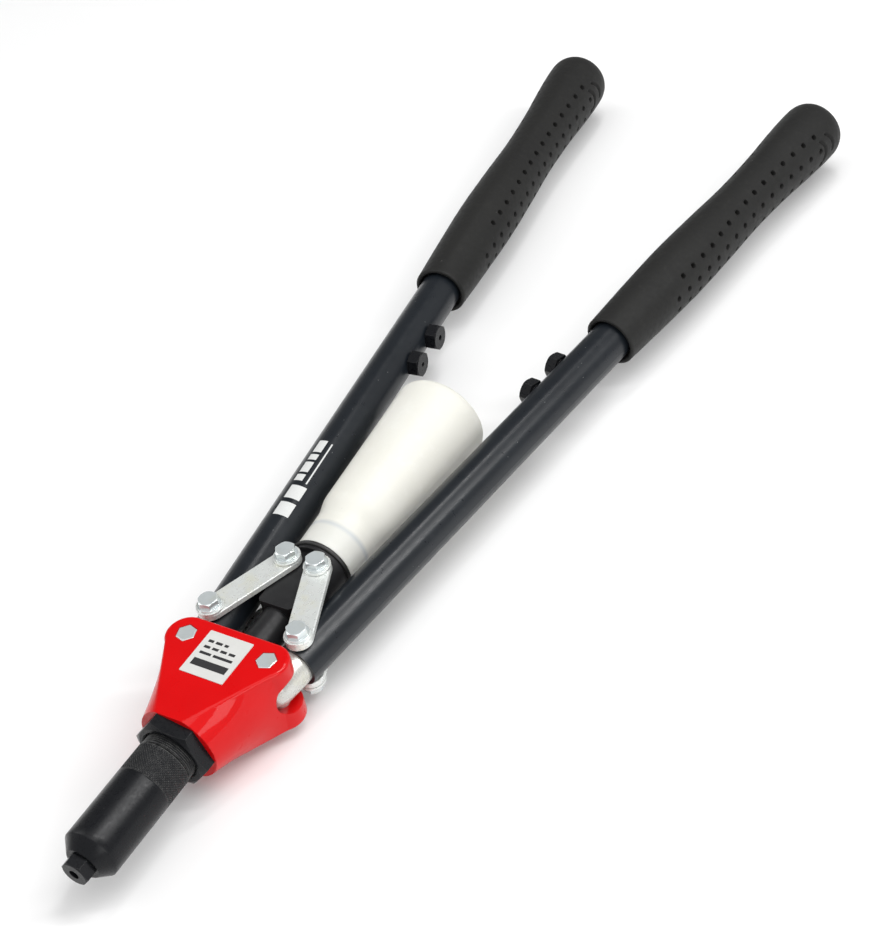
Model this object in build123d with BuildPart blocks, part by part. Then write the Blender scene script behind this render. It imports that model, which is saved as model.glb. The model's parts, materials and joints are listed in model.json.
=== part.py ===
"""Long-arm hand riveter: two levers draw a jaw carriage back through a threaded nose.

Frame: the origin is the centre of the nosepiece's front face, +Y runs back along the
pulling axis to the mandrel bottle, +Z is parallel to the lever pivot pins, +X is right.
The levers are closed. Millimetres.
"""
import os
from math import atan2, cos, degrees, hypot, radians, sin, tan

from build123d import *

os.makedirs("parts", exist_ok=True)

# Driving dimensions -------------------------------------------------------------------
PIVOT_X = 20.0                 # lever pivot, from the pulling axis
PIVOT_Y = 107.6                # lever pivot, behind the nosepiece face
ARM_SPLAY = 6.64               # closed lever's lean from the pulling axis, degrees
ARM_LINK_RADIUS = 18.5         # lever pivot to link bolt, along the lever
CROSSHEAD_BOLT_X = 7.65
CROSSHEAD_BOLT_Y = 162.0
TUBE_RADIUS = 9.5
TUBE_WALL = 1.5
BODY_HALF_HEIGHT = 16.5
HOUSING_RADIUS = 12.0
RUNNING_GAP = 0.07             # radial clearance of a pin that turns in its hole
FIT_GAP = 0.03                 # radial clearance of a pin that stays in its hole
FACE_GAP = 0.15                # between flat faces that slide past each other

# Body casting
BODY_FRONT_Y = 68.0
BOSS_RADIUS = 17.8
BOSS_RIDGE_RADIUS = 5.0        # rounds the ridge where the flat top cuts the round boss
BODY_EDGE_RADIUS = 1.5
EAR_RADIUS = 9.4
EAR_BLEND_ANGLE = 32.0         # where the tapering sides meet the ears' round ends, degrees
EAR_BLEND_INSET = 0.45         # the sides end this far inside the ears
SLOT_RADIUS = 8.5
THREAD_DEPTH = 16.0

# Nose
NOSEPIECE_FLATS = 11.0
NOSEPIECE_HEX_LENGTH = 5.2
NOSEPIECE_SHANK_RADIUS = 4.2
NOSEPIECE_LENGTH = 19.0
MANDREL_RADIUS = 2.2
HOUSING_TIP_RADIUS = 7.8
CONE_END_Y = 10.4
KNURL_END_Y = 58.0
THREAD_RADIUS = 11.6
THREAD_PITCH = 0.9
THREAD_GROOVE = 0.36
THREAD_GROOVES_SHOWN = 4
NUT_FLATS = 29.6
NUT_THICKNESS = 6.4
NUT_COUNTERSINK = 1.2
HOUSING_BORE_RADIUS = 9.2
HOUSING_BORE_FRONT_Y = 11.0

# Carriage: jaw case, pull tube, crosshead
CARRIAGE_TRAVEL = 15.6         # towards the nose, as the levers open
CARRIAGE_STOP_GAP = 0.3        # left between the jaws and the nosepiece at full travel
JAW_CASE_RADIUS = 8.8
JAW_CASE_REAR_Y = 70.0
JAW_TAPER = 9.0                # half angle of the cone that closes the jaws, degrees
TAPER_FRONT_RADIUS = 4.7
JAW_LENGTH = 13.0
JAW_COUNT = 3
JAW_SPLIT = 0.6                # gap between neighbouring jaws
PUSHER_RADIUS = 5.6
PUSHER_LENGTH = 4.4
PUSHER_STEM_RADIUS = 3.3
PUSHER_STEM_LENGTH = 9.0
PULL_TUBE_RADIUS = 7.5
PULL_TUBE_BORE = 3.0
PULL_TUBE_FRONT_Y = 60.0
SPRING_POCKET_RADIUS = 5.8
SPRING_END_Y = 80.0
SPRING_RADIUS = 4.5
SPRING_WIRE_RADIUS = 0.55
SPRING_TURNS = 6
CROSSHEAD_FRONT_Y = 139.0
CROSSHEAD_HALF_HEIGHT = 9.3
CROSSHEAD_TONGUE_HALF_WIDTH = 8.3
NECK_RADIUS = 13.4
NECK_FRONT_Y = 169.9
NECK_REAR_Y = 171.0
SPIGOT_RADIUS = 12.6
SPIGOT_REAR_Y = 184.0
RING_CENTRE_RADIUS = 13.0
RING_WIRE_RADIUS = 1.0
OPEN_PIVOT_CLEARANCE = 1.9     # crosshead holes are this much wider than their bolts

# Bottle
BOTTLE_MOUTH_Y = 173.2
BOTTLE_MOUTH_RADIUS = 13.9
BOTTLE_WALL = 1.25
BOTTLE_NECK_END_Y = 191.0
BOTTLE_NECK_END_RADIUS = 14.9
BOTTLE_SHOULDER_Y = 201.5
BOTTLE_SHOULDER_RADIUS = 17.4
BOTTLE_WIDE_Y = 268.5
BOTTLE_WIDE_RADIUS = 21.9
BOTTLE_END_Y = 273.6
BOTTLE_END_RADIUS = 17.0
BOTTLE_BASE_RECESS = 1.2

# Links, bolts and pins
LINK_WIDTH = 11.6
LINK_THICKNESS = 2.8
LINK_INNER_Z = TUBE_RADIUS + 0.3
BOLT_RADIUS = 2.5
BOLT_FLATS = 8.0
WASHER_RADIUS = 5.9
WASHER_THICKNESS = 1.0
FLANGE_RADIUS = 5.1
FLANGE_THICKNESS = 0.9
BOLT_HEAD_HEIGHT = 3.0
NUT_HEIGHT = 4.0
BOLT_STICKOUT = 0.9            # thread showing past the nut
PIN_RADIUS = 3.9
PIN_FLATS = 8.0
PIN_HEX_DEPTH = 4.0
CLIP_RADIUS = 5.6
CLIP_THICKNESS = 1.0
CLIP_POCKET_RADIUS = 6.2
CLIP_POCKET_DEPTH = 2.2

# Arms
LEVER_RADIUS = TUBE_RADIUS - TUBE_WALL - FIT_GAP
LEVER_FLAT = 7.7               # half height between the flats beside the pivot
LEVER_FLAT_LENGTH = 12.0
LEVER_LENGTH = 70.0
TUBE_START = 13.0              # stations along the arm, from its pivot
TUBE_END = 417.0
SPARE_STATIONS = {"front": 192.6, "rear": 212.2}
SPARE_BORES = {                # one spare for each smaller rivet size
    ("left", "front"): 1.1,
    ("left", "rear"): 1.35,
    ("right", "front"): 1.6,
    ("right", "rear"): 1.85,
}
SPARE_FACE_OFFSET = TUBE_RADIUS + NOSEPIECE_HEX_LENGTH + FIT_GAP
GRIP_STARTS = {"left": 244.4, "right": 237.4}     # how far each grip is pushed on
GRIP_LENGTH = 186.6
GRIP_PROFILE = (               # station along the grip, radius
    (0.0, 12.5),
    (30.0, 13.65),
    (57.0, 14.3),
    (85.0, 13.8),
    (111.0, 13.0),
    (137.0, 13.5),
    (157.0, 14.7),
    (171.0, 15.3),
)
GRIP_CROWN_RADIUS = 10.5       # flat middle of the grip's closed end

LABEL_SIZE = (21.4, 22.6)
LABEL_CENTRE_Y = 101.2
LABEL_THICKNESS = 0.3

# Places worked out from them ----------------------------------------------------------
SIDES = {"left": -1, "right": 1}
EAR_BLEND_X = PIVOT_X + EAR_RADIUS * cos(radians(EAR_BLEND_ANGLE)) - EAR_BLEND_INSET
EAR_BLEND_Y = PIVOT_Y - EAR_RADIUS * sin(radians(EAR_BLEND_ANGLE))
JAW_FRONT_Y = NOSEPIECE_LENGTH + CARRIAGE_TRAVEL + CARRIAGE_STOP_GAP
JAW_REAR_Y = JAW_FRONT_Y + JAW_LENGTH
JAW_CASE_FRONT_Y = HOUSING_BORE_FRONT_Y + CARRIAGE_TRAVEL + 3 * CARRIAGE_STOP_GAP
TAPER_FRONT_Y = JAW_FRONT_Y - 3.0
TAPER_REAR_Y = JAW_REAR_Y + 2.0
TAPER_REAR_RADIUS = TAPER_FRONT_RADIUS + (TAPER_REAR_Y - TAPER_FRONT_Y) * tan(radians(JAW_TAPER))
LINK_OUTER_Z = LINK_INNER_Z + LINK_THICKNESS
ARM_BOLT_X = PIVOT_X + ARM_LINK_RADIUS * sin(radians(ARM_SPLAY))
ARM_BOLT_Y = PIVOT_Y + ARM_LINK_RADIUS * cos(radians(ARM_SPLAY))
LINK_LENGTH = hypot(ARM_BOLT_X - CROSSHEAD_BOLT_X, CROSSHEAD_BOLT_Y - ARM_BOLT_Y)


def across(y):
    """Plane square to the pulling axis at station y: its x is X and its y is Z."""
    return Plane.XZ.offset(-y)


def arm_plane(side):
    """Arm's own plane: origin on the pivot, y along the arm, z up."""
    lean = radians(ARM_SPLAY)
    outward = (cos(lean), -side * sin(lean), 0)
    return Plane(origin=(side * PIVOT_X, PIVOT_Y, 0), x_dir=outward, z_dir=(0, 0, 1))


def arm_axis(side):
    return Axis(arm_plane(side).origin, arm_plane(side).y_dir)


def save(builder, node):
    builder.part.label = node
    export_step(builder.part, f"parts/{node}.step")


def chamfered_hexagon(face, flats, length, turn=0.0):
    """Hexagonal prism behind face, with the corners of its front turned off."""
    with BuildSketch(face) as hexagon:
        RegularPolygon(radius=flats / 2, side_count=6, major_radius=False, rotation=turn)
    extrude(hexagon.sketch, amount=-length)
    with BuildSketch(face) as turned:
        Circle(0.97 * flats / 2)
    extrude(turned.sketch, amount=-length, taper=-60, mode=Mode.INTERSECT)


def drill(places, radius, height=60.0):
    """Vertical holes right through, centred on the mid-plane."""
    with Locations(*places):
        Cylinder(radius, height, mode=Mode.SUBTRACT)


# Body casting -------------------------------------------------------------------------
with BuildPart() as body_casting:
    # ears with round ends about the pivot pins
    with BuildSketch(Plane.XY.offset(-BODY_HALF_HEIGHT)):
        with Locations((0, PIVOT_Y)):
            SlotOverall(2 * (PIVOT_X + EAR_RADIUS), 2 * EAR_RADIUS)
    extrude(amount=2 * BODY_HALF_HEIGHT)
    fillet(body_casting.faces().filter_by(Axis.Z).edges(), BODY_EDGE_RADIUS)
    # sides that taper from the ears to the round boss, whose top and bottom are cut flat
    with BuildSketch(across(BODY_FRONT_Y)) as boss:
        Circle(BOSS_RADIUS)
        Rectangle(2 * BOSS_RADIUS, 2 * BODY_HALF_HEIGHT, mode=Mode.INTERSECT)
        fillet(boss.vertices(), BOSS_RIDGE_RADIUS)
    with BuildSketch(across(EAR_BLEND_Y)) as ear_root:
        Rectangle(2 * EAR_BLEND_X, 2 * BODY_HALF_HEIGHT)
        fillet(ear_root.vertices(), BODY_EDGE_RADIUS)
    loft(ruled=True)
    # lever slot with a round front end, open at the rear and at both sides
    with BuildSketch(Plane.YZ):
        with Locations((PIVOT_Y, 0)):
            Circle(SLOT_RADIUS)
        with Locations((PIVOT_Y + EAR_RADIUS, 0)):
            Rectangle(2 * EAR_RADIUS, 2 * SLOT_RADIUS)
    extrude(amount=2 * PIVOT_X, both=True, mode=Mode.SUBTRACT)
    # threaded bore for the nose housing, then a seat for the guide bush
    with BuildSketch(across(BODY_FRONT_Y)):
        Circle(THREAD_RADIUS + FIT_GAP)
    extrude(amount=-THREAD_DEPTH, mode=Mode.SUBTRACT)
    with BuildSketch(across(BODY_FRONT_Y)):
        Circle(PULL_TUBE_RADIUS + 2.5)
    extrude(amount=-(PIVOT_Y - BODY_FRONT_Y), mode=Mode.SUBTRACT)
    # pivot pin holes with hexagonal seats on top and clip pockets below
    drill([(side * PIVOT_X, PIVOT_Y, 0) for side in SIDES.values()], PIN_RADIUS + FIT_GAP)
    for side, turn in ((-1, 44.5), (1, 20.5)):
        with BuildSketch(Plane.XY.offset(BODY_HALF_HEIGHT)):
            with Locations((side * PIVOT_X, PIVOT_Y)):
                RegularPolygon(PIN_FLATS / 2 + 0.1, side_count=6, major_radius=False, rotation=turn)
        extrude(amount=-PIN_HEX_DEPTH, mode=Mode.SUBTRACT)
    with BuildSketch(Plane.XY.offset(-BODY_HALF_HEIGHT)):
        with Locations((-PIVOT_X, PIVOT_Y), (PIVOT_X, PIVOT_Y)):
            Circle(CLIP_POCKET_RADIUS)
    extrude(amount=CLIP_POCKET_DEPTH, mode=Mode.SUBTRACT)
save(body_casting, "body_casting")

with BuildPart() as rating_label:
    with BuildSketch(Plane.XY.offset(BODY_HALF_HEIGHT)):
        with Locations((0, LABEL_CENTRE_Y)):
            RectangleRounded(*LABEL_SIZE, 0.4)
    extrude(amount=LABEL_THICKNESS)
save(rating_label, "rating_label")

with BuildPart() as guide_bush:
    with BuildSketch(across(BODY_FRONT_Y + THREAD_DEPTH + 0.2)):
        Circle(PULL_TUBE_RADIUS + 2.5 - FIT_GAP)
        Circle(PULL_TUBE_RADIUS + RUNNING_GAP, mode=Mode.SUBTRACT)
    extrude(amount=-13.0)
save(guide_bush, "guide_bush")

for side_name, turn in (("left", 44.5), ("right", 20.5)):
    pin_at = (SIDES[side_name] * PIVOT_X, PIVOT_Y)
    with BuildPart() as pivot_pin:
        with BuildSketch(Plane.XY.offset(BODY_HALF_HEIGHT)):
            with Locations(pin_at):
                RegularPolygon(PIN_FLATS / 2, side_count=6, major_radius=False, rotation=turn)
        extrude(amount=-PIN_HEX_DEPTH + FACE_GAP)
        chamfer(pivot_pin.faces().sort_by(Axis.Z)[-1].edges(), 0.35)
        with BuildSketch(Plane.XY.offset(-BODY_HALF_HEIGHT + 0.3)):
            with Locations(pin_at):
                Circle(PIN_RADIUS)
        extrude(amount=2 * BODY_HALF_HEIGHT - PIN_HEX_DEPTH)
        with BuildSketch(Plane.XY.offset(-BODY_HALF_HEIGHT + 1.1)):
            with Locations(pin_at):
                Circle(PIN_RADIUS)
                Circle(PIN_RADIUS - 0.6, mode=Mode.SUBTRACT)
        extrude(amount=CLIP_THICKNESS, mode=Mode.SUBTRACT)
    save(pivot_pin, f"pivot_pin_{side_name}")

with BuildPart() as pin_clips:
    with BuildSketch(Plane.XY.offset(-BODY_HALF_HEIGHT + 1.1)):
        with Locations((-PIVOT_X, PIVOT_Y), (PIVOT_X, PIVOT_Y)):
            Circle(CLIP_RADIUS)
            Circle(PIN_RADIUS - 0.6 + FIT_GAP, mode=Mode.SUBTRACT)
        with Locations((-PIVOT_X, PIVOT_Y - CLIP_RADIUS), (PIVOT_X, PIVOT_Y - CLIP_RADIUS)):
            Rectangle(3.6, 2 * CLIP_RADIUS - 2.0, mode=Mode.SUBTRACT)
    extrude(amount=CLIP_THICKNESS - FIT_GAP)
save(pin_clips, "pin_clips")


# Nose ---------------------------------------------------------------------------------
def nosepiece_part(face, turn, bore):
    """Hexagonal nosepiece with a threaded shank behind it, seen from its front face."""
    with BuildPart() as piece:
        chamfered_hexagon(face, NOSEPIECE_FLATS, NOSEPIECE_HEX_LENGTH, turn)
        with BuildSketch(face):
            Circle(NOSEPIECE_SHANK_RADIUS)
        extrude(amount=-NOSEPIECE_LENGTH)
        with BuildSketch(face):
            Circle(bore)
        extrude(amount=-NOSEPIECE_LENGTH, mode=Mode.SUBTRACT)
    return piece


save(nosepiece_part(Plane.XZ, 50.0, MANDREL_RADIUS), "nosepiece")

with BuildPart() as nose_housing:
    with BuildSketch(Plane.XY):
        with BuildLine():
            Polyline(
                (NOSEPIECE_SHANK_RADIUS + FIT_GAP, NOSEPIECE_HEX_LENGTH + 0.1),
                (HOUSING_TIP_RADIUS, NOSEPIECE_HEX_LENGTH + 0.1),
                (HOUSING_RADIUS, CONE_END_Y),
                (HOUSING_RADIUS, KNURL_END_Y - 0.8),
                (HOUSING_RADIUS - 0.8, KNURL_END_Y),
                (THREAD_RADIUS, KNURL_END_Y),
                (THREAD_RADIUS, BODY_FRONT_Y + THREAD_DEPTH),
                (HOUSING_BORE_RADIUS, BODY_FRONT_Y + THREAD_DEPTH),
                (HOUSING_BORE_RADIUS, HOUSING_BORE_FRONT_Y),
                (NOSEPIECE_SHANK_RADIUS + FIT_GAP, HOUSING_BORE_FRONT_Y),
                close=True,
            )
        make_face()
    revolve(axis=Axis.Y)
    # thread grooves that show between the knurl and the lock nut
    for turn in range(THREAD_GROOVES_SHOWN):
        groove_y = KNURL_END_Y + (turn + 0.5) * THREAD_PITCH
        with BuildSketch(Plane.XY):
            with BuildLine():
                Polyline(
                    (THREAD_RADIUS + 0.1, groove_y - THREAD_GROOVE),
                    (THREAD_RADIUS - THREAD_GROOVE, groove_y),
                    (THREAD_RADIUS + 0.1, groove_y + THREAD_GROOVE),
                    close=True,
                )
            make_face()
        revolve(axis=Axis.Y, mode=Mode.SUBTRACT)
save(nose_housing, "nose_housing")

with BuildPart() as lock_nut:
    chamfered_hexagon(across(BODY_FRONT_Y - NUT_THICKNESS), NUT_FLATS, NUT_THICKNESS, 50.0)
    with BuildSketch(across(BODY_FRONT_Y)):
        Circle(THREAD_RADIUS + FIT_GAP)
    extrude(amount=NUT_THICKNESS, mode=Mode.SUBTRACT)
    bore_edges = lock_nut.edges().filter_by(GeomType.CIRCLE).group_by(SortBy.RADIUS)[0]
    chamfer(bore_edges.sort_by(Axis.Y)[0], NUT_COUNTERSINK)
save(lock_nut, "lock_nut")

# Carriage -----------------------------------------------------------------------------
with BuildPart() as jaw_case:
    with BuildSketch(Plane.XY):
        with BuildLine():
            Polyline(
                (TAPER_FRONT_RADIUS, JAW_CASE_FRONT_Y),
                (JAW_CASE_RADIUS - 1.5, JAW_CASE_FRONT_Y),
                (JAW_CASE_RADIUS, JAW_CASE_FRONT_Y + 1.5),
                (JAW_CASE_RADIUS, JAW_CASE_REAR_Y),
                (PULL_TUBE_RADIUS + FIT_GAP, JAW_CASE_REAR_Y),
                (PULL_TUBE_RADIUS + FIT_GAP, PULL_TUBE_FRONT_Y - 0.5),
                (TAPER_REAR_RADIUS, PULL_TUBE_FRONT_Y - 0.5),
                (TAPER_REAR_RADIUS, TAPER_REAR_Y),
                (TAPER_FRONT_RADIUS, TAPER_FRONT_Y),
                close=True,
            )
        make_face()
    revolve(axis=Axis.Y)
save(jaw_case, "jaw_case")


def taper_radius(y):
    """Radius of the jaw case's taper at station y."""
    return TAPER_FRONT_RADIUS + (y - TAPER_FRONT_Y) * tan(radians(JAW_TAPER))


for jaw_index in range(JAW_COUNT):
    with BuildPart() as jaw:
        with BuildSketch(Plane.XY):
            with BuildLine():
                Polyline(
                    (MANDREL_RADIUS + 0.9, JAW_FRONT_Y),
                    (taper_radius(JAW_FRONT_Y) - 0.05, JAW_FRONT_Y),
                    (taper_radius(JAW_REAR_Y) - 0.05, JAW_REAR_Y),
                    (MANDREL_RADIUS - 0.6, JAW_REAR_Y),
                    (MANDREL_RADIUS - 0.6, JAW_FRONT_Y + 1.5),
                    close=True,
                )
            make_face()
        revolve(axis=Axis.Y)
        # keep one third, less half a gap on each side
        with BuildSketch(across(JAW_FRONT_Y)):
            half_third = 180.0 / JAW_COUNT
            middle = 90.0 + jaw_index * 360.0 / JAW_COUNT
            centre = Vector(0, JAW_SPLIT / 2 / sin(radians(half_third))).rotate(Axis.Z, middle - 90)
            corners = [
                centre + Vector(4 * JAW_CASE_RADIUS, 0).rotate(Axis.Z, middle + bend)
                for bend in (-half_third, 0, half_third)
            ]
            with BuildLine():
                Polyline(centre, *corners, close=True)
            make_face()
        extrude(amount=-(JAW_REAR_Y - JAW_FRONT_Y), mode=Mode.INTERSECT)
    save(jaw, f"jaw_{jaw_index + 1}")

with BuildPart() as jaw_pusher:
    with BuildSketch(Plane.XY):
        with BuildLine():
            Polyline(
                (MANDREL_RADIUS, JAW_REAR_Y + 0.05),
                (PUSHER_RADIUS, JAW_REAR_Y + 0.05),
                (PUSHER_RADIUS, JAW_REAR_Y + PUSHER_LENGTH),
                (PUSHER_STEM_RADIUS, JAW_REAR_Y + PUSHER_LENGTH),
                (PUSHER_STEM_RADIUS, JAW_REAR_Y + PUSHER_LENGTH + PUSHER_STEM_LENGTH),
                (MANDREL_RADIUS, JAW_REAR_Y + PUSHER_LENGTH + PUSHER_STEM_LENGTH),
                close=True,
            )
        make_face()
    revolve(axis=Axis.Y)
save(jaw_pusher, "jaw_pusher")

SPRING_START_Y = JAW_REAR_Y + PUSHER_LENGTH + SPRING_WIRE_RADIUS + 0.05
SPRING_PITCH = (SPRING_END_Y - SPRING_WIRE_RADIUS - 0.05 - SPRING_START_Y) / SPRING_TURNS
with BuildPart() as jaw_spring:
    with BuildLine():
        coil = Helix(
            pitch=SPRING_PITCH,
            height=SPRING_PITCH * SPRING_TURNS,
            radius=SPRING_RADIUS,
            center=(0, SPRING_START_Y, 0),
            direction=(0, 1, 0),
        )
    with BuildSketch(Plane(origin=coil @ 0, z_dir=coil % 0)):
        Circle(SPRING_WIRE_RADIUS)
    sweep(path=coil, is_frenet=True)
save(jaw_spring, "jaw_spring")

with BuildPart() as pull_tube:
    with BuildSketch(Plane.XY):
        with BuildLine():
            Polyline(
                (SPRING_POCKET_RADIUS, PULL_TUBE_FRONT_Y),
                (PULL_TUBE_RADIUS, PULL_TUBE_FRONT_Y),
                (PULL_TUBE_RADIUS, CROSSHEAD_FRONT_Y + 8.0),
                (PULL_TUBE_BORE, CROSSHEAD_FRONT_Y + 8.0),
                (PULL_TUBE_BORE, SPRING_END_Y),
                (SPRING_POCKET_RADIUS, SPRING_END_Y),
                close=True,
            )
        make_face()
    revolve(axis=Axis.Y)
save(pull_tube, "pull_tube")

with BuildPart() as crosshead:
    # flat tongue and shoulders, seen from above
    with BuildSketch(Plane.XY.offset(-CROSSHEAD_HALF_HEIGHT)):
        with BuildLine():
            Polyline(
                (-CROSSHEAD_TONGUE_HALF_WIDTH, CROSSHEAD_FRONT_Y),
                (CROSSHEAD_TONGUE_HALF_WIDTH, CROSSHEAD_FRONT_Y),
                (CROSSHEAD_TONGUE_HALF_WIDTH, CROSSHEAD_FRONT_Y + 10.0),
                (NECK_RADIUS, CROSSHEAD_FRONT_Y + 18.0),
                (NECK_RADIUS, NECK_FRONT_Y),
                (-NECK_RADIUS, NECK_FRONT_Y),
                (-NECK_RADIUS, CROSSHEAD_FRONT_Y + 18.0),
                (-CROSSHEAD_TONGUE_HALF_WIDTH, CROSSHEAD_FRONT_Y + 10.0),
                close=True,
            )
        make_face()
        fillet(vertices().group_by(Axis.Y)[0], 2.0)
    extrude(amount=2 * CROSSHEAD_HALF_HEIGHT)
    # round off the shoulders to the neck's cylinder
    with BuildSketch(across(CROSSHEAD_FRONT_Y)):
        Circle(NECK_RADIUS)
    extrude(amount=-(NECK_FRONT_Y - CROSSHEAD_FRONT_Y), mode=Mode.INTERSECT)
    # neck, ring seat and the spigot that the bottle fits over
    with BuildSketch(Plane.XY):
        with BuildLine():
            Polyline(
                (0, NECK_FRONT_Y - 0.5),
                (NECK_RADIUS, NECK_FRONT_Y - 0.5),
                (NECK_RADIUS, NECK_REAR_Y),
                (SPIGOT_RADIUS, NECK_REAR_Y),
                (SPIGOT_RADIUS, SPIGOT_REAR_Y),
                (0, SPIGOT_REAR_Y),
                close=True,
            )
        make_face()
    revolve(axis=Axis.Y)
    with BuildSketch(across(CROSSHEAD_FRONT_Y)):
        Circle(PULL_TUBE_RADIUS + FIT_GAP)
    extrude(amount=-8.0, mode=Mode.SUBTRACT)
    with BuildSketch(across(CROSSHEAD_FRONT_Y)):
        Circle(PULL_TUBE_BORE)
    extrude(amount=-(SPIGOT_REAR_Y - CROSSHEAD_FRONT_Y), mode=Mode.SUBTRACT)
    # mouth of the spigot opens out, so that spent mandrels drop into the bottle
    with BuildSketch(across(SPIGOT_REAR_Y)):
        Circle(SPIGOT_RADIUS - 2.6)
    extrude(amount=12.0, taper=20, mode=Mode.SUBTRACT)
    drill(
        [(side * CROSSHEAD_BOLT_X, CROSSHEAD_BOLT_Y, 0) for side in SIDES.values()],
        BOLT_RADIUS + OPEN_PIVOT_CLEARANCE,
    )
save(crosshead, "crosshead")

with BuildPart() as neck_ring:
    with BuildSketch(Plane.XY):
        with Locations((RING_CENTRE_RADIUS + 0.6 + FIT_GAP, NECK_REAR_Y + RING_WIRE_RADIUS)):
            Circle(RING_WIRE_RADIUS)
    revolve(axis=Axis.Y)
save(neck_ring, "neck_ring")

# Bottle -------------------------------------------------------------------------------
with BuildPart() as mandrel_bottle:
    with BuildSketch(Plane.XY):
        with BuildLine():
            neck = Line(
                (BOTTLE_MOUTH_RADIUS, BOTTLE_MOUTH_Y),
                (BOTTLE_NECK_END_RADIUS, BOTTLE_NECK_END_Y),
            )
            side_wall = Line(
                (BOTTLE_SHOULDER_RADIUS, BOTTLE_SHOULDER_Y),
                (BOTTLE_WIDE_RADIUS, BOTTLE_WIDE_Y),
            )
            Spline(neck @ 1, side_wall @ 0, tangents=(neck % 1, side_wall % 0))
            Spline(side_wall @ 1, (BOTTLE_END_RADIUS, BOTTLE_END_Y), tangents=(side_wall % 1, (-1, 0)))
            # the base stands on a ring and is dished inside it
            Polyline(
                (BOTTLE_END_RADIUS, BOTTLE_END_Y),
                (BOTTLE_END_RADIUS - 2.0, BOTTLE_END_Y),
                (BOTTLE_END_RADIUS - 5.0, BOTTLE_END_Y - BOTTLE_BASE_RECESS),
                (0, BOTTLE_END_Y - BOTTLE_BASE_RECESS),
                (0, BOTTLE_MOUTH_Y),
                neck @ 0,
            )
        make_face()
    revolve(axis=Axis.Y)
    offset(amount=-BOTTLE_WALL, openings=mandrel_bottle.faces().sort_by(Axis.Y)[0])
save(mandrel_bottle, "mandrel_bottle")


# Links and their bolts ----------------------------------------------------------------
def link_plate(side, low_z):
    """Flat link with round ends, from the arm's bolt to the crosshead's bolt."""
    middle_x = side * (ARM_BOLT_X + CROSSHEAD_BOLT_X) / 2
    middle_y = (ARM_BOLT_Y + CROSSHEAD_BOLT_Y) / 2
    lean = degrees(atan2(CROSSHEAD_BOLT_Y - ARM_BOLT_Y, side * (CROSSHEAD_BOLT_X - ARM_BOLT_X)))
    with BuildPart() as plate:
        with BuildSketch(Plane.XY.offset(low_z)):
            with Locations((middle_x, middle_y)):
                SlotCenterToCenter(LINK_LENGTH, LINK_WIDTH, rotation=lean)
        extrude(amount=LINK_THICKNESS)
        drill([(side * ARM_BOLT_X, ARM_BOLT_Y, 0)], BOLT_RADIUS + RUNNING_GAP)
        drill([(side * CROSSHEAD_BOLT_X, CROSSHEAD_BOLT_Y, 0)], BOLT_RADIUS + FIT_GAP)
        chamfer(plate.edges().filter_by(Axis.Z, reverse=True).group_by(SortBy.LENGTH)[-1], 0.3)
    return plate


HEAD_SEAT_Z = LINK_OUTER_Z + FACE_GAP + WASHER_THICKNESS


def bolt_part(x, y, turn):
    """Hexagonal bolt with a flange under its head, its shank down through both links."""
    flange_top = HEAD_SEAT_Z + FLANGE_THICKNESS
    with BuildPart() as bolt:
        head_face = Plane.XY.offset(flange_top + BOLT_HEAD_HEIGHT).move(Location((x, y, 0)))
        chamfered_hexagon(head_face, BOLT_FLATS, BOLT_HEAD_HEIGHT, turn)
        with BuildSketch(Plane.XY.offset(HEAD_SEAT_Z)):
            with Locations((x, y)):
                Circle(FLANGE_RADIUS)
        extrude(amount=FLANGE_THICKNESS)
        with BuildSketch(Plane.XY.offset(-HEAD_SEAT_Z - NUT_HEIGHT - BOLT_STICKOUT)):
            with Locations((x, y)):
                Circle(BOLT_RADIUS)
        extrude(amount=2 * HEAD_SEAT_Z + NUT_HEIGHT + BOLT_STICKOUT)
    return bolt


def washers_part(x, y):
    """One flat washer above the top link and one below the bottom link."""
    with BuildPart() as washers:
        with BuildSketch(Plane.XY.offset(LINK_OUTER_Z + FACE_GAP), Plane.XY.offset(-HEAD_SEAT_Z)):
            with Locations((x, y)):
                Circle(WASHER_RADIUS)
                Circle(BOLT_RADIUS + FIT_GAP, mode=Mode.SUBTRACT)
        extrude(amount=WASHER_THICKNESS)
    return washers


def nut_part(x, y, turn):
    with BuildPart() as nut:
        nut_face = Plane(origin=(x, y, -HEAD_SEAT_Z - NUT_HEIGHT), x_dir=(1, 0, 0), z_dir=(0, 0, -1))
        chamfered_hexagon(nut_face, BOLT_FLATS, NUT_HEIGHT, turn)
        drill([(x, y, 0)], BOLT_RADIUS + FIT_GAP)
    return nut


for side_name, side in SIDES.items():
    save(link_plate(side, LINK_INNER_Z), f"top_link_{side_name}")
    save(link_plate(side, -LINK_OUTER_Z), f"bottom_link_{side_name}")
    for place, x, y, turn in (
        ("arm", side * ARM_BOLT_X, ARM_BOLT_Y, 12.0),
        ("crosshead", side * CROSSHEAD_BOLT_X, CROSSHEAD_BOLT_Y, 5.0),
    ):
        save(bolt_part(x, y, turn), f"{place}_bolt_{side_name}")
        save(washers_part(x, y), f"{place}_washers_{side_name}")
        save(nut_part(x, y, turn), f"{place}_nut_{side_name}")

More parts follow.
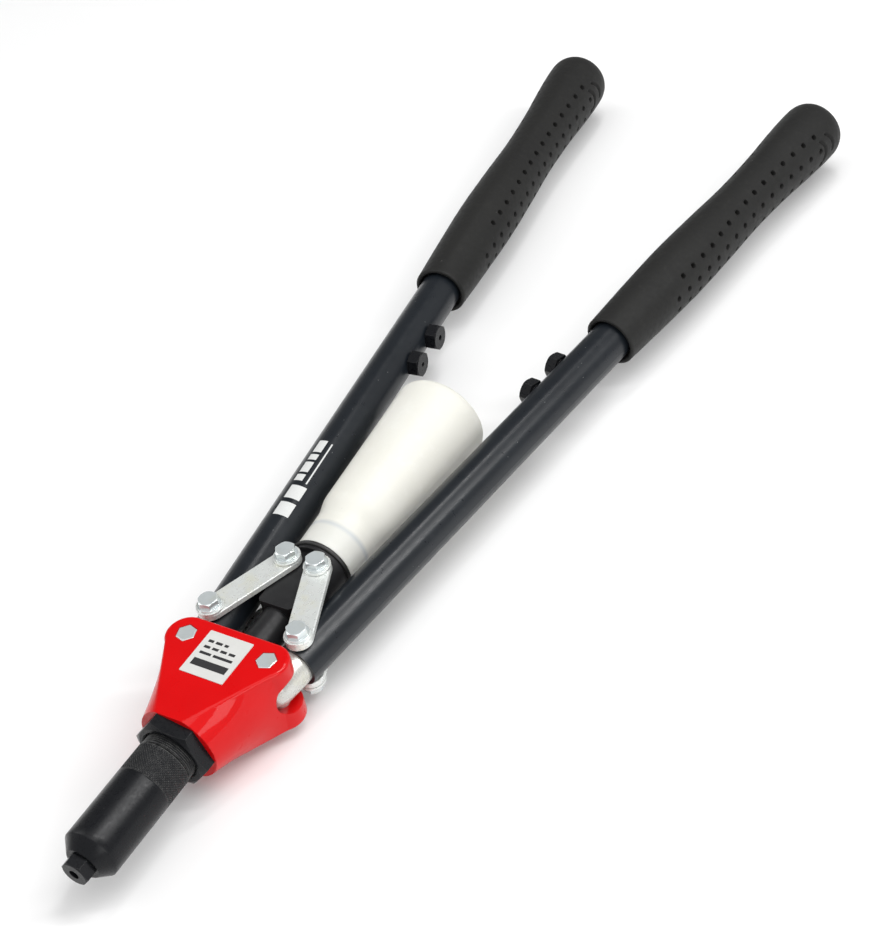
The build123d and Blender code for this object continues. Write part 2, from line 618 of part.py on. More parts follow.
# Arms ---------------------------------------------------------------------------------
for side_name, side in SIDES.items():
    plane = arm_plane(side)
    bolt_at = (side * ARM_BOLT_X, ARM_BOLT_Y, 0)
    inward = plane.x_dir * -side

    with BuildPart() as lever_end:
        with BuildSketch(plane):
            with BuildLine():
                Polyline(
                    (0, -LEVER_RADIUS),
                    (0, LEVER_LENGTH),
                    (LEVER_RADIUS, LEVER_LENGTH),
                    (LEVER_RADIUS, 0),
                )
                CenterArc((0, 0), LEVER_RADIUS, -90, 90)
            make_face()
        revolve(axis=arm_axis(side))
        # flats above and below the pivot eye
        for flat_z in (LEVER_FLAT, -LEVER_FLAT - LEVER_RADIUS):
            with BuildSketch(plane.offset(flat_z)):
                with Locations((0, (LEVER_FLAT_LENGTH - LEVER_RADIUS) / 2)):
                    Rectangle(3 * LEVER_RADIUS, LEVER_FLAT_LENGTH + LEVER_RADIUS)
            extrude(amount=LEVER_RADIUS, mode=Mode.SUBTRACT)
        drill([(side * PIVOT_X, PIVOT_Y, 0)], PIN_RADIUS + RUNNING_GAP)
        drill([bolt_at], BOLT_RADIUS + FIT_GAP)
    save(lever_end, f"lever_end_{side_name}")

    with BuildPart() as handle_tube:
        start_centre = plane.from_local_coords((0, TUBE_START, 0))
        with BuildSketch(Plane(origin=start_centre, x_dir=plane.x_dir, z_dir=plane.y_dir)):
            Circle(TUBE_RADIUS)
            Circle(TUBE_RADIUS - TUBE_WALL, mode=Mode.SUBTRACT)
        extrude(amount=TUBE_END - TUBE_START)
        drill([bolt_at], BOLT_RADIUS + FIT_GAP)
        for station in SPARE_STATIONS.values():
            with BuildSketch(Plane(origin=plane.from_local_coords((0, station, 0)), z_dir=inward)):
                Circle(NOSEPIECE_SHANK_RADIUS + FIT_GAP)
            extrude(amount=2 * TUBE_RADIUS, mode=Mode.SUBTRACT)
    save(handle_tube, f"handle_tube_{side_name}")

    with BuildPart() as grip:
        with BuildSketch(plane):
            grip_start = GRIP_STARTS[side_name]
            grip_end = grip_start + GRIP_LENGTH
            outside = [(radius, grip_start + station) for station, radius in GRIP_PROFILE]
            with BuildLine():
                Line((TUBE_RADIUS + FIT_GAP, grip_start), outside[0])
                Spline(*outside, tangents=((0.08, 1), (0, 1)))
                Spline(
                    outside[-1],
                    (GRIP_CROWN_RADIUS, grip_end),
                    tangents=((0, 1), (-1, 0)),
                    tangent_scalars=(1.5, 1.2),
                )
                Polyline(
                    (GRIP_CROWN_RADIUS, grip_end),
                    (0, grip_end),
                    (0, TUBE_END + 0.1),
                    (TUBE_RADIUS + FIT_GAP, TUBE_END + 0.1),
                    (TUBE_RADIUS + FIT_GAP, grip_start),
                )
            make_face()
        revolve(axis=arm_axis(side))
    save(grip, f"grip_{side_name}")

    for place, station in SPARE_STATIONS.items():
        face_centre = plane.from_local_coords((-side * SPARE_FACE_OFFSET, station, 0))
        spare_face = Plane(origin=face_centre, x_dir=plane.y_dir, z_dir=inward)
        spare = nosepiece_part(spare_face, 15.0, SPARE_BORES[side_name, place])
        save(spare, f"spare_nosepiece_{place}_{side_name}")
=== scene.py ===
"""Looks of the long-arm hand riveter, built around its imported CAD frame.

The CAD nodes keep their shapes and get procedural materials. Pieces whose real surface is finer than
the CAD solid (knurled housing, dimpled grips, jaw spring, printing) are built here as meshes.

The scene is in metres. Sizes in this file are in millimetres and are scaled by MM where they are used,
except for the studio at its end, which is in metres.
"""

import json
from math import cos, degrees, exp, hypot, pi, radians, sin

import bpy
from mathutils import Matrix, Vector


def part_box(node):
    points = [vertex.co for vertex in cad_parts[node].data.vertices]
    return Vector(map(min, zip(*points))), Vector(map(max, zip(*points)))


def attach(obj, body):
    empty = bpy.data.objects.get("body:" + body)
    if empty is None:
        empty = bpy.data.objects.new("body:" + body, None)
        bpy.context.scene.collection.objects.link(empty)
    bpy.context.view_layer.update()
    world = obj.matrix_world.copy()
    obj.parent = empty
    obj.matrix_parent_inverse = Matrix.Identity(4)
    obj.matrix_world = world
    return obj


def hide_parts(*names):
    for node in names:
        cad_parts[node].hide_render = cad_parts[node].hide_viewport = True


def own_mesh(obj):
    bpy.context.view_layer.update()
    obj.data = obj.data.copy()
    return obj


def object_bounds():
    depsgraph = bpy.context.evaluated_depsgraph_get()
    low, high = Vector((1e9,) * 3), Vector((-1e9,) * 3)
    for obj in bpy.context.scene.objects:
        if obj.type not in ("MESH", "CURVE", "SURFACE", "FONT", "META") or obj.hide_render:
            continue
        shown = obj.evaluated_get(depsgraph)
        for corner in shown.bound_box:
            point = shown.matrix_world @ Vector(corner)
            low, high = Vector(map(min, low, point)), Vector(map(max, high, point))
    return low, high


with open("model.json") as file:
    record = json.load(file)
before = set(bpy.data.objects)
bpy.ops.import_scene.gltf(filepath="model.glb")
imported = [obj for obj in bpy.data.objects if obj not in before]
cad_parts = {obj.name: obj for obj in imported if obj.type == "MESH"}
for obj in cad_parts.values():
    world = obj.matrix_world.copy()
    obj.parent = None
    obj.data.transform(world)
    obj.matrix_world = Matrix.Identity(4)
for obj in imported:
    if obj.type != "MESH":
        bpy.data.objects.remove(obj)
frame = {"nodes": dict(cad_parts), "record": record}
nodes = frame["nodes"]
cad_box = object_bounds()

MM = 0.001


# Sizes shared by shapes and materials ---------------------------------------------------
SPIGOT_END_Y = 184.0             # end of the crosshead's spigot, inside the bottle's neck

# Nose housing, by its stations along Y
SHANK_BORE = 4.23                # radius of the bore that holds the nosepiece
HEX_END = 5.3                    # front face, just behind the nosepiece's hexagon
TIP_RADIUS = 7.8                 # small end of the cone
CONE_END = 10.4
SLEEVE_RADIUS = 12.0
KNURL_START = 44.0
KNURL_END = 57.2
KNURL_DEPTH = 0.34
KNURLS_AROUND = 60
SAMPLES_PER_KNURL = 7
KNURL_STEP = 0.17                # between rows of points along the knurl
THREAD_START = 58.0
THREAD_SHOWN_END = 64.0          # plain from here on, inside the lock nut and the body
THREAD_RADIUS = 11.6
THREAD_DEPTH = 0.5
THREAD_PITCH = 0.9
THREAD_STEP = 0.15               # between rows of points along the thread
HOUSING_END = 84.0
BORE_START = 11.0                # the wide bore for the jaw case runs from here to the rear
BORE_RADIUS = 9.2


# Materials ----------------------------------------------------------------------------
# A noise is given by the size of its features in millimetres, then its detail and its roughness.
# Colours are linear red, green and blue. Bumps are depths in millimetres.
NOISE_RANGE = (0.3, 0.7)         # nearly all values of a noise lie in here
BEVEL_SAMPLES = 6
EDGE_FAINT = 0.02                # an edge's mask sets in where the two normals' product falls this
EDGE_FULL = 0.25                 # far below 1, and is complete where it falls this far


class Look:
    """A Principled material whose colour, roughness and bump come from nodes."""

    def __init__(self, name, **sockets):
        self.material = bpy.data.materials.new(name)
        self.material.use_nodes = True
        self.tree = self.material.node_tree
        self.shader = self.tree.nodes["Principled BSDF"]
        self.place = self.add("ShaderNodeTexCoord").outputs["Object"]
        for socket, value in sockets.items():
            self.shader.inputs[socket.replace("_", " ")].default_value = value

    def put(self, socket, value):
        """Link value to socket, or store it there as a plain number or colour."""
        if isinstance(value, bpy.types.NodeSocket):
            self.tree.links.new(value, socket)
        elif isinstance(value, tuple) and len(socket.default_value) == 4:
            socket.default_value = (*value[:3], 1.0)
        else:
            socket.default_value = value

    def add(self, kind, inputs=None, **settings):
        node = self.tree.nodes.new(kind)
        for name, value in settings.items():
            setattr(node, name, value)
        for name, value in (inputs or {}).items():
            self.put(node.inputs[name], value)
        return node

    def remap(self, value, low, high, to_low, to_high):
        inputs = {"Value": value, "From Min": low, "From Max": high, "To Min": to_low, "To Max": to_high}
        return self.add("ShaderNodeMapRange", inputs).outputs[0]

    def math(self, operation, first, second):
        return self.add("ShaderNodeMath", {0: first, 1: second}, operation=operation).outputs[0]

    def mix(self, factor, first, second):
        node = self.add("ShaderNodeMix", data_type="RGBA")
        for index, value in ((0, factor), (6, first), (7, second)):
            self.put(node.inputs[index], value)
        return node.outputs[2]

    def stretched(self, stretch, turn=0.0):
        """Texture place turned about Z, then scaled, so that a noise runs long along one way."""
        rotated = self.add("ShaderNodeMapping", {"Vector": self.place, "Rotation": (0, 0, turn)})
        return self.add("ShaderNodeMapping", {"Vector": rotated.outputs[0], "Scale": stretch}).outputs[0]

    def noise(self, feature_mm, detail=3.0, rough=0.5, place=None):
        inputs = {"Vector": place or self.place, "Scale": 1 / (feature_mm * MM)}
        inputs.update({"Detail": detail, "Roughness": rough})
        return self.add("ShaderNodeTexNoise", inputs).outputs[0]

    def mottle(self, first, second, feature_mm, detail=3.0, rough=0.5):
        """Colour that wanders between two tones."""
        return self.mix(self.noise(feature_mm, detail, rough), first, second)

    def specks(self, spacing_mm, size, share):
        """Mask of small round specks, in a share of the cells of a Voronoi pattern."""
        inputs = {"Vector": self.place, "Scale": 1 / (spacing_mm * MM)}
        cells = self.add("ShaderNodeTexVoronoi", inputs)
        dot = self.remap(cells.outputs["Distance"], size, 0.6 * size, 0, 1)
        colour = self.add("ShaderNodeSeparateColor", {"Color": cells.outputs["Color"]})
        chosen = self.remap(colour.outputs[0], share, share - 0.01, 0, 1)
        return self.math("MULTIPLY", dot, chosen)

    def edges(self, radius_mm):
        """Mask of outer and inner edges, from how far a rounded normal leaves the flat one."""
        rounded = self.add("ShaderNodeBevel", {"Radius": radius_mm * MM}, samples=BEVEL_SAMPLES)
        flat_normal = self.add("ShaderNodeNewGeometry").outputs["Normal"]
        inputs = {0: rounded.outputs[0], 1: flat_normal}
        agree = self.add("ShaderNodeVectorMath", inputs, operation="DOT_PRODUCT")
        return self.remap(agree.outputs["Value"], 1 - EDGE_FAINT, 1 - EDGE_FULL, 0, 1)

    def soften(self, radius_mm):
        """Round the edges in the shading."""
        rounded = self.add("ShaderNodeBevel", {"Radius": radius_mm * MM}, samples=BEVEL_SAMPLES)
        self.tree.links.new(rounded.outputs[0], self.shader.inputs["Normal"])

    def bump(self, height, depth_mm):
        """Add a bump on top of the normal that the shader already has."""
        node = self.add("ShaderNodeBump", {"Height": height, "Distance": depth_mm * MM, "Strength": 1.0})
        normal = self.shader.inputs["Normal"]
        if normal.is_linked:
            self.tree.links.new(normal.links[0].from_socket, node.inputs["Normal"])
        self.tree.links.new(node.outputs[0], normal)

    def colour(self, value):
        self.put(self.shader.inputs["Base Color"], value)

    def roughness(self, low, high, feature_mm, detail=3.0):
        """Roughness that wanders between low and high."""
        value = self.remap(self.noise(feature_mm, detail), *NOISE_RANGE, low, high)
        self.put(self.shader.inputs["Roughness"], value)


def red_paint():
    look = Look("red_enamel", Coat_Weight=0.5, Coat_Roughness=0.05, Specular_IOR_Level=0.05)
    look.soften(0.7)
    deep = (0.54, 0.0, 0.001)
    bright = (0.62, 0.001, 0.002)
    rubbed = (0.85, 0.10, 0.06)
    dust = (0.8, 0.3, 0.25)
    wear = look.math("MULTIPLY", look.edges(0.35), look.remap(look.noise(5, 4), 0.5, 0.7, 0, 0.5))
    tone = look.mix(wear, look.mottle(deep, bright, 14, 4), rubbed)
    look.colour(look.mix(look.specks(5, 0.05, 0.2), tone, dust))
    look.roughness(0.26, 0.4, 6)
    look.bump(look.noise(9, 2), 0.20)       # waves of the casting under the paint
    look.bump(look.noise(0.9, 2), 0.006)    # orange peel
    return look.material


def powder_coat():
    look = Look("blue_black_powder_coat", Specular_IOR_Level=0.32, Coat_Weight=0.08, Coat_Roughness=0.2)
    dark = (0.006, 0.008, 0.011)
    light = (0.011, 0.014, 0.018)
    scuffed = (0.030, 0.033, 0.037)
    dust = (0.30, 0.31, 0.31)
    scuffs = look.remap(look.noise(7, 6, 0.7), 0.62, 0.8, 0, 0.3)
    tone = look.mix(scuffs, look.mottle(dark, light, 18, 4), scuffed)
    look.colour(look.mix(look.specks(3.2, 0.055, 0.22), tone, dust))
    look.roughness(0.27, 0.36, 3.5, 4)
    look.bump(look.noise(0.55, 2), 0.012)   # grain of the powder
    return look.material


def grip_rubber():
    look = Look("matt_black_rubber", Specular_IOR_Level=0.22, Sheen_Weight=0.02, Sheen_Roughness=0.5)
    dark = (0.009, 0.009, 0.009)
    light = (0.015, 0.015, 0.014)
    bloomed = (0.026, 0.026, 0.024)
    dust = (0.28, 0.28, 0.26)
    bloom = look.remap(look.noise(4, 6, 0.65), 0.55, 0.8, 0, 0.5)
    tone = look.mix(bloom, look.mottle(dark, light, 22, 4), bloomed)
    look.colour(look.mix(look.specks(4.5, 0.03, 0.2), tone, dust))
    look.roughness(0.50, 0.64, 2.5, 4)
    look.bump(look.noise(0.35, 3, 0.6), 0.03)   # matt grain
    look.bump(look.noise(2.4, 2), 0.03)     # slow unevenness
    return look.material


def black_oxide(name, wear):
    """Blackened steel with faint turning rings; wear(look) gives the mask of its rubbed places."""
    look = Look(name, Specular_IOR_Level=0.2)
    look.soften(0.25)
    dark = (0.004, 0.0045, 0.006)
    light = (0.008, 0.0085, 0.010)
    bare_steel = (0.11, 0.11, 0.105)
    dust = (0.22, 0.22, 0.20)
    rubbed = look.math("MULTIPLY", wear(look), look.remap(look.noise(2, 4), 0.35, 0.6, 0.15, 0.9))
    tone = look.mix(rubbed, look.mottle(dark, light, 9, 5), bare_steel)
    look.colour(look.mix(look.specks(2.6, 0.05, 0.18), tone, dust))
    look.roughness(0.24, 0.34, 1.6, 5)
    rings = look.noise(0.5, 2, place=look.stretched((0.02, 1, 0.02)))
    look.bump(rings, 0.005)
    look.bump(look.noise(0.4, 3), 0.008)    # grain
    return look.material


def edge_wear(look):
    return look.edges(0.25)


def crest_wear(look):
    """Wear on the edges and on the crests of the knurl and of the running thread."""
    axes = look.add("ShaderNodeSeparateXYZ", {"Vector": look.place}).outputs
    across = look.add("ShaderNodeCombineXYZ", {"X": axes["X"], "Z": axes["Z"]}).outputs[0]
    radius = look.add("ShaderNodeVectorMath", {0: across}, operation="LENGTH").outputs["Value"]

    def crests(outside, faint_below, full_below, start, fade):
        """Mask of what comes close to the outside radius, behind the station start."""
        high = look.remap(radius, (outside - faint_below) * MM, (outside - full_below) * MM, 0, 1)
        behind = look.remap(axes["Y"], start * MM, (start + fade) * MM, 0, 1)
        return look.math("MULTIPLY", high, behind)

    knurl_crests = crests(SLEEVE_RADIUS, 0.12, 0.02, KNURL_START, 0.3)
    thread_crests = crests(THREAD_RADIUS, 0.2, 0.05, THREAD_START, 0.2)
    return look.math("MAXIMUM", edge_wear(look), look.math("MAXIMUM", knurl_crests, thread_crests))


def zinc(name, tone_low, tone_high, rough_low, rough_high, metallic):
    """Zinc plating with yellowed and dull patches, a painted highlight along the edges and fine crossing
    scratches.
    """
    look = Look(name, Metallic=metallic, Specular_IOR_Level=0.5)
    look.soften(0.3)
    red, green, blue = tone_low
    yellowed = (1.04 * red, green, 0.86 * blue)
    dulled = (0.78 * red, 0.78 * green, 0.78 * blue)
    # near-white colour painted on the edges as a highlight
    painted_edge_highlight = (0.95, 0.96, 0.95)
    tone = look.mottle(tone_low, tone_high, 6, 5, 0.6)
    tone = look.mix(look.remap(look.noise(9, 4, 0.6), 0.52, 0.72, 0, 0.7), tone, yellowed)
    tone = look.mix(look.remap(look.noise(4, 2), 0.55, 0.8, 0, 0.3), tone, dulled)
    # every edge is painted near white: a painted highlight, not wear
    look.colour(look.mix(look.edges(0.3), tone, painted_edge_highlight))
    look.roughness(rough_low, rough_high, 2.2, 5)
    for turn in (0.5, 2.2):
        scratches = look.noise(0.5, 3, place=look.stretched((0.04, 1, 1), turn))
        look.bump(scratches, 0.003)
    look.bump(look.noise(2.5, 2), 0.006)    # slow waves
    return look.material


def plain_metal(name, low, high, rough, grain_mm=0.4):
    look = Look(name, Metallic=1.0)
    look.soften(0.15)
    look.colour(look.mottle(low, high, 3, 5))
    look.roughness(rough - 0.07, rough + 0.07, 1.5, 4)
    look.bump(look.noise(grain_mm, 3), 0.01)
    return look.material


def black_crosshead():
    look = Look("satin_black_crosshead", Specular_IOR_Level=0.3)
    look.soften(0.35)
    dark = (0.009, 0.009, 0.010)
    light = (0.019, 0.019, 0.020)
    rubbed = (0.12, 0.12, 0.115)
    wear = look.math("MULTIPLY", look.edges(0.4), look.remap(look.noise(3, 4), 0.4, 0.65, 0, 0.6))
    look.colour(look.mix(wear, look.mottle(dark, light, 7, 4), rubbed))
    look.roughness(0.34, 0.48, 2, 4)
    look.bump(look.noise(0.7, 3), 0.02)     # cast grain
    return look.material


def seal_rubber():
    look = Look("smooth_black_rubber", Specular_IOR_Level=0.5)
    look.colour(look.mottle((0.012, 0.012, 0.012), (0.024, 0.024, 0.023), 2, 4))
    look.roughness(0.34, 0.46, 0.8, 3)
    look.bump(look.noise(0.5, 2), 0.01)
    return look.material


def bottle_plastic():
    """Milky plastic; a painted shadow of the spigot inside lies on the neck as a grey ring, darkest at
    the spigot's end.
    """
    look = Look("natural_polyethylene", Subsurface_Weight=0.4, Subsurface_Scale=0.004,
                Subsurface_Radius=(1.0, 0.95, 0.85), Specular_IOR_Level=0.35)
    warm = (0.70, 0.69, 0.62)
    pale = (0.75, 0.74, 0.68)
    cloudy = (0.83, 0.825, 0.78)
    spigot_painted_shadow = (0.47, 0.50, 0.52)
    dirt = (0.45, 0.43, 0.38)
    clouds = look.remap(look.noise(6, 5, 0.6), 0.55, 0.8, 0, 0.35)
    tone = look.mix(clouds, look.mottle(warm, pale, 25, 3), cloudy)
    # painted shadow: a grey ring on the neck where the spigot's end sits inside it
    y = look.add("ShaderNodeSeparateXYZ", {"Vector": look.place}).outputs["Y"]
    rise = look.remap(y, (SPIGOT_END_Y - 1.2) * MM, (SPIGOT_END_Y + 0.4) * MM, 0.25, 0.75)
    fall = look.remap(y, (SPIGOT_END_Y + 0.6) * MM, (SPIGOT_END_Y + 2.4) * MM, 1, 0)
    tone = look.mix(look.math("MULTIPLY", rise, fall), tone, spigot_painted_shadow)
    look.colour(look.mix(look.specks(6, 0.03, 0.15), tone, dirt))
    look.roughness(0.34, 0.46, 5, 4)
    flow_marks = look.noise(5, 2, place=look.stretched((1, 0.12, 1)))
    look.bump(flow_marks, 0.08)
    look.bump(look.noise(0.8, 2), 0.008)
    return look.material


def label_film():
    look = Look("label_film", Specular_IOR_Level=0.45, Coat_Weight=0.3, Coat_Roughness=0.25)
    look.colour(look.mottle((0.56, 0.56, 0.54), (0.63, 0.63, 0.61), 5, 5))
    look.roughness(0.38, 0.5, 2, 3)
    look.bump(look.noise(1.2, 3), 0.01)
    return look.material


def ink(name, low, high):
    look = Look(name)
    look.colour(look.mottle(low, high, 0.5, 4))
    look.roughness(0.42, 0.55, 0.6, 3)
    look.bump(look.noise(0.3, 2), 0.004)
    return look.material


SLOT_LOOKS = {
    "red_paint": red_paint(),
    "black_oxide": black_oxide("black_oxide_steel", edge_wear),
    "zinc_plate": zinc("bright_zinc_plate", (0.72, 0.75, 0.73), (0.81, 0.83, 0.81), 0.24, 0.34, 0.45),
    "bright_zinc_lever": zinc("milky_zinc", (0.54, 0.55, 0.52), (0.63, 0.63, 0.60), 0.22, 0.32, 0.45),
    "powder_coat": powder_coat(),
    "grip_rubber": grip_rubber(),
    "black_crosshead": black_crosshead(),
    "tool_steel": plain_metal("ground_tool_steel", (0.30, 0.31, 0.32), (0.42, 0.43, 0.43), 0.32),
    "spring_steel": plain_metal("spring_wire", (0.25, 0.25, 0.26), (0.38, 0.38, 0.37), 0.35),
    "bronze": plain_metal("sintered_bronze", (0.42, 0.25, 0.11), (0.52, 0.33, 0.16), 0.5, grain_mm=0.25),
    "seal_rubber": seal_rubber(),
    "bottle_plastic": bottle_plastic(),
    "label_film": label_film(),
}
KNURLED_STEEL = black_oxide("knurled_black_steel", crest_wear)
BLACK_INK = ink("black_ink", (0.012, 0.012, 0.013), (0.022, 0.022, 0.023))
WHITE_INK = ink("white_ink", (0.52, 0.53, 0.52), (0.70, 0.71, 0.70))
FACETED_ZINC = zinc("polished_zinc", (0.68, 0.74, 0.75), (0.80, 0.85, 0.86), 0.18, 0.26, 0.6)
FASTENER_WORDS = ("_bolt_", "_nut_", "pivot_pin_")   # nodes with turned and faceted heads

for subpart in frame["record"]["subparts"]:
    cad_node = nodes[subpart["node"]]
    fastener = any(word in subpart["node"] for word in FASTENER_WORDS)
    cad_look = FACETED_ZINC if fastener else SLOT_LOOKS[subpart["material_slot"]]
    for material_slot in cad_node.material_slots:
        material_slot.material = cad_look


# Mesh helpers -------------------------------------------------------------------------
def dress(piece, material):
    piece.data.materials.clear()
    piece.data.materials.append(material)


def make_piece(name, points, faces, body, slot, material=None, sharp=32.0):
    """A mesh piece that rides on a body; edges sharper than `sharp` degrees stay crisp."""
    mesh = bpy.data.meshes.new(name)
    mesh.from_pydata(points, [], faces)
    mesh.validate()
    mesh.shade_smooth()
    mesh.set_sharp_from_angle(angle=radians(sharp))
    piece = bpy.data.objects.new(name, mesh)
    bpy.context.scene.collection.objects.link(piece)
    dress(piece, material or SLOT_LOOKS[slot])
    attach(piece, body)
    return piece


def ring_faces(rows, columns, close_rows=False, flip=False):
    """Quads of a grid whose columns close on themselves."""
    faces = []
    for row in range(rows if close_rows else rows - 1):
        here = row * columns
        above = (row + 1) % rows * columns
        for column in range(columns):
            after = (column + 1) % columns
            quad = (here + column, here + after, above + after, above + column)
            faces.append(quad[::-1] if flip else quad)
    return faces


def triangle_wave(turns):
    """0 at whole turns, 1 half way between them."""
    return 1 - abs(2 * (turns % 1.0) - 1)


def spread(start, end, step):
    """Evenly spaced values from start to end, about a step apart."""
    count = max(1, round(abs(end - start) / step))
    return [start + (end - start) * i / count for i in range(count + 1)]


# Nose housing: cone, plain sleeve, diamond knurl and running thread --------------------
KNURL_RUNOUT = 0.5               # both patterns fade out over these lengths
THREAD_RUNOUT = 0.6


def flat(y, angle):
    """Relief of a plain section."""
    return 0.0


def knurl(y, angle):
    """Depth of the diamond knurl below the sleeve's surface."""
    along = (y - KNURL_START) / (2 * pi * SLEEVE_RADIUS / KNURLS_AROUND)
    around = angle / (2 * pi) * KNURLS_AROUND
    grooves = max(1 - triangle_wave(around + along), 1 - triangle_wave(around - along))
    fade = min(1, (y - KNURL_START) / KNURL_RUNOUT, (KNURL_END - y) / KNURL_RUNOUT)
    return KNURL_DEPTH * grooves ** 1.5 * max(0, fade)


def thread(y, angle):
    """Depth of the helical thread below the crest."""
    fade = min(1, (y - THREAD_START) / THREAD_RUNOUT, (THREAD_SHOWN_END - y) / THREAD_RUNOUT)
    return THREAD_DEPTH * (1 - triangle_wave(y / THREAD_PITCH + angle / (2 * pi))) * max(0, fade)


def housing_sections():
    """Sections (radius, station, relief) along the closed outline, from the front face to the bores."""
    sections = [
        (SHANK_BORE, HEX_END, flat),
        # broken front edge
        (TIP_RADIUS - 0.3, HEX_END, flat),
        (TIP_RADIUS, HEX_END + 0.3, flat),
        # blend from the cone to the sleeve
        (SLEEVE_RADIUS - 0.15, CONE_END - 0.2, flat),
        (SLEEVE_RADIUS, CONE_END + 0.2, flat),
    ]
    sections += [(SLEEVE_RADIUS, y, flat) for y in spread(CONE_END + 3, KNURL_START - 0.7, 6)]
    sections += [
        # shallow turned groove before the knurl
        (SLEEVE_RADIUS, KNURL_START - 0.35, flat),
        (SLEEVE_RADIUS - 0.12, KNURL_START - 0.1, flat),
    ]
    sections += [(SLEEVE_RADIUS, y, knurl) for y in spread(KNURL_START, KNURL_END, KNURL_STEP)]
    sections += [
        # chamfer behind the knurl, down below the thread's crests
        (SLEEVE_RADIUS - 0.8, THREAD_START, flat),
        (THREAD_RADIUS, THREAD_START, flat),
    ]
    sections += [(THREAD_RADIUS, y, thread) for y in spread(THREAD_START, THREAD_SHOWN_END, THREAD_STEP)]
    sections += [
        (THREAD_RADIUS, HOUSING_END, flat),
        (BORE_RADIUS, HOUSING_END, flat),
        (BORE_RADIUS, BORE_START, flat),
        (SHANK_BORE, BORE_START, flat),
    ]
    return sections


def nose_housing():
    columns = KNURLS_AROUND * SAMPLES_PER_KNURL
    sections = housing_sections()
    points = []
    for radius, y, relief in sections:
        for column in range(columns):
            angle = 2 * pi * column / columns
            at = radius - relief(y, angle)
            points.append((at * MM * cos(angle), y * MM, at * MM * sin(angle)))
    faces = ring_faces(len(sections), columns, close_rows=True, flip=True)
    piece = make_piece(
        "knurled_housing", points, faces, "riveter_body", "black_oxide", KNURLED_STEEL, sharp=38
    )
    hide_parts("nose_housing")


nose_housing()


# Arms ---------------------------------------------------------------------------------
PIVOT_X = 20.0
PIVOT_Y = 107.6
ARM_SPLAY = radians(6.64)
TUBE_RADIUS = 9.5
RIGHT = 1
LEFT = -1


def arm_point(side, station, radius, angle):
    """Point on an arm: station from its pivot, angle from straight up towards its outer side."""
    out = Vector((side * cos(ARM_SPLAY), -sin(ARM_SPLAY), 0))
    along = Vector((side * sin(ARM_SPLAY), cos(ARM_SPLAY), 0))
    start = Vector((side * PIVOT_X, PIVOT_Y, 0))
    across = out * sin(angle) + Vector((0, 0, cos(angle)))
    return (start + along * station + across * radius) * MM


# Grips: a waisted sleeve with rows of round dimples on both flanks and two end grooves ---
# Stations count from the arm's pivot unless they are said to run along the grip. Angles in these
# tables are degrees from straight up.
GRIP_STARTS = {RIGHT: 237.4, LEFT: 244.4}
GRIP_LENGTH = 186.6
GRIP_OUTSIDE = (                 # station along the grip, radius
    (0.0, 12.5), (30.0, 13.65), (57.0, 14.3), (85.0, 13.8), (111.0, 13.0),
    (137.0, 13.5), (157.0, 14.7), (171.0, 15.3),
)
MOUTH_RADIUS = 10.6
MOUTH_DEPTH = 5.0
TUBE_REST = TUBE_RADIUS + 0.03   # where the sleeve meets the tube, behind its mouth
LIP_LENGTH = 1.6
CROWN_MIDDLE_RADIUS = 10.0
CROWN_ROWS = 14
CROWN_FULLNESS = 0.85            # below 1 the end is squarer than an ellipse

DIMPLE_RADIUS = 1.4
DIMPLE_DEPTH = 2.2
DIMPLE_PITCH = 8.42
DIMPLE_WAIST = 360.0             # the rows bow most at this station
DIMPLE_BOW_REACH = 50.0
DIMPLE_ROWS = {                  # angle at the ends, bow at the waist, first station, count
    RIGHT: (
        (52.5, -13.0, 283.5, 15),
        (82.0, -8.0, 275.1, 16),
        (108.0, 4.0, 275.1, 16),
        (138.0, 8.0, 283.5, 15),
    ),
    LEFT: (
        (48.5, -4.0, 289.0, 15),
        (80.0, -3.0, 272.2, 17),
        (106.0, 3.0, 272.2, 17),
        (136.0, 4.0, 289.0, 15),
    ),
}

GROOVES = {                      # station along the grip, first angle, last angle
    RIGHT: ((168.0, 60, 108), (174.4, 56, 100)),
    LEFT: ((167.0, 60, 108), (173.4, 56, 100)),
}
GROOVE_HALF_WIDTH = 0.7
GROOVE_FLANK = 1.6               # its sides end this many half widths from its middle
GROOVE_DEPTH = 1.1
GROOVE_CURL = 3.0                # its ends bend this far towards the mouth
GROOVE_MIDDLE_ANGLE = 84
GROOVE_REACH_ANGLE = 24
GROOVE_RUNOUT_ANGLE = 4

RIDGE_ANGLES = {RIGHT: (-14.0, 166.0), LEFT: (-11.0, 169.0)}
RIDGE_HEIGHT = 0.3
RIDGE_SPREAD = 12.0              # angle over which a ridge falls away
RIDGE_FROM_MOUTH = 3.0
RIDGE_FADE_IN = 8.0
RIDGE_FADE_OUT = 10.0

FINE_STEP = 0.5                  # between rows of points where the sleeve is dimpled
FINE_ANGLE = radians(2.0)
COARSE_STEP = 2.0
COARSE_ANGLE = radians(5)
FINE_FROM_MOUTH = 23.0
FINE_TO_END = 8.8
FLANK_FROM = radians(24)         # angles between which the points stand close together
FLANK_TO = radians(156)


def smooth_radius(station):
    """Outside radius at a station along the grip, on a smooth curve through GRIP_OUTSIDE."""
    knots = GRIP_OUTSIDE
    index = max(i for i in range(len(knots) - 1) if knots[i][0] <= station or i == 0)
    (s0, r0), (s1, r1) = knots[index], knots[index + 1]
    before = knots[index - 1] if index else knots[0]
    beyond = knots[index + 2] if index + 2 < len(knots) else (GRIP_LENGTH, r1)
    slope0 = (r1 - before[1]) / (s1 - before[0])
    slope1 = (beyond[1] - r0) / (beyond[0] - s0)
    t = (station - s0) / (s1 - s0)
    span = s1 - s0
    return (
        (2 * t ** 3 - 3 * t ** 2 + 1) * r0 + (t ** 3 - 2 * t ** 2 + t) * span * slope0
        + (3 * t ** 2 - 2 * t ** 3) * r1 + (t ** 3 - t ** 2) * span * slope1
    )


